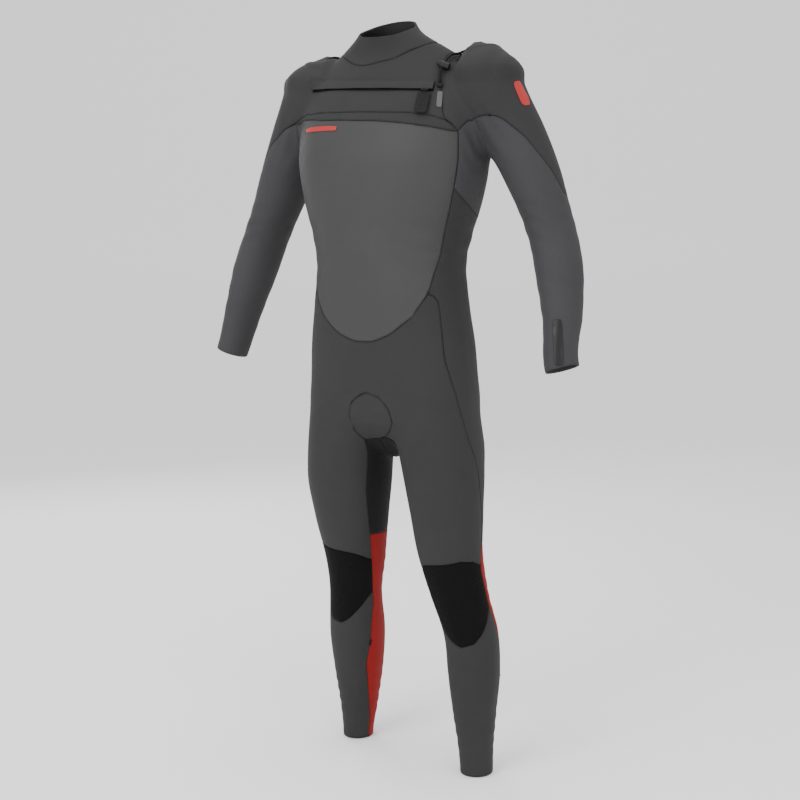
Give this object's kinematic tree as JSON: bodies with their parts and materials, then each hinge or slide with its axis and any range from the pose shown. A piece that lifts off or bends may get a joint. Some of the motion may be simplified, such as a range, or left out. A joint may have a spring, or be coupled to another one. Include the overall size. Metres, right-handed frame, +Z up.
{
  "type": "wetsuit",
  "caption": "Full wetsuit in worn shape: panelled neoprene with collar, chest zip under a flap, pull strap, cord with lock, knee pads and red calf panels",
  "frame": {"origin": "on the plane of the ankle hems, under the middle of the suit's bounding box", "axes": "+Z up from the ankles to the collar, +X to the wearer's left, -Y the way that the wearer faces"},
  "size_m": [0.8142, 0.256, 1.4771],
  "materials": {
    "jersey_dark": "nylon jersey laminated on neoprene, charcoal, matt",
    "jersey_light": "nylon jersey laminated on neoprene, mid grey, matt",
    "jersey_black": "nylon jersey laminated on neoprene, near black, matt",
    "smooth_skin": "smooth-skin neoprene with a fine mesh emboss, dark grey, satin",
    "jersey_red": "nylon jersey laminated on neoprene, deep red, matt",
    "knee_rubber": "textured abrasion-proof pad, black, matt",
    "black_plastic": "moulded nylon or soft print, black, semi-matt",
    "spring_steel": "bright wire",
    "webbing": "woven tape or braided elastic cord, black",
    "print_red": "raised soft print, bright red, satin"
  },
  "bodies": {
    "suit": {"collar": "jersey_dark", "front_yoke": "jersey_dark", "left_shoulder": "jersey_dark", "upper_back": "jersey_dark", "chest_band": "jersey_dark", "left_sleeve": "jersey_light", "right_sleeve": "jersey_light", "chest_panel": "smooth_skin", "back_panel": "smooth_skin", "left_side_panel": "jersey_light", "right_side_panel": "jersey_light", "front_body": "jersey_dark", "seat_panel": "jersey_dark", "crotch_gusset": "jersey_dark", "left_inner_thigh": "jersey_black", "right_inner_thigh": "jersey_black", "left_knee_pad": "knee_rubber", "right_knee_pad": "knee_rubber", "left_shin": "jersey_dark", "right_shin": "jersey_dark", "left_calf_panel": "jersey_red", "right_calf_panel": "jersey_red", "zip_chain_upper": "black_plastic", "zip_chain_lower": "black_plastic", "zip_tape_upper": "webbing", "zip_tape_lower": "webbing", "zip_cover_flap": "jersey_dark", "zip_end_patch": "webbing", "neck_cord": "webbing", "cord_tab_shoulder": "webbing", "cord_tab_chest": "webbing", "hang_loop": "webbing", "chest_badge": "print_red", "shoulder_badge": "print_red", "sleeve_label": "black_plastic"},
    "slider": {"zip_slider": "black_plastic", "zip_slider_pin": "spring_steel"},
    "strap": {"zip_pull_strap": "webbing"},
    "cord_lock": {"cord_lock_body": "black_plastic", "cord_lock_spring": "spring_steel"},
    "lock_button": {"cord_lock_button": "black_plastic"}
  },
  "joints": [
    {"name": "zip_slide", "type": "hinge", "parent": "suit", "child": "slider", "pos_m": [0.01986, 0.362, 1.338], "axis": [-0.0523, 0, -0.9986], "range_deg": [0, 31]},
    {"name": "strap_swing", "type": "hinge", "parent": "slider", "child": "strap", "pos_m": [0.11592, -0.07666, 1.32819], "axis": [-0.9753, -0.2147, 0.0511], "range_deg": [0, 120]},
    {"name": "lock_slide", "type": "slide", "parent": "suit", "child": "cord_lock", "axis": [-0.1244, -0.6031, -0.7879], "range_m": [-0.005, 0.004]},
    {"name": "lock_press", "type": "slide", "parent": "cord_lock", "child": "lock_button", "axis": [0.892, 0.2798, -0.355], "range_m": [0, 0.003], "stiffness_N_per_m": 150, "springref_m": -0.002, "deforming": ["cord_lock_spring"]}
  ]
}
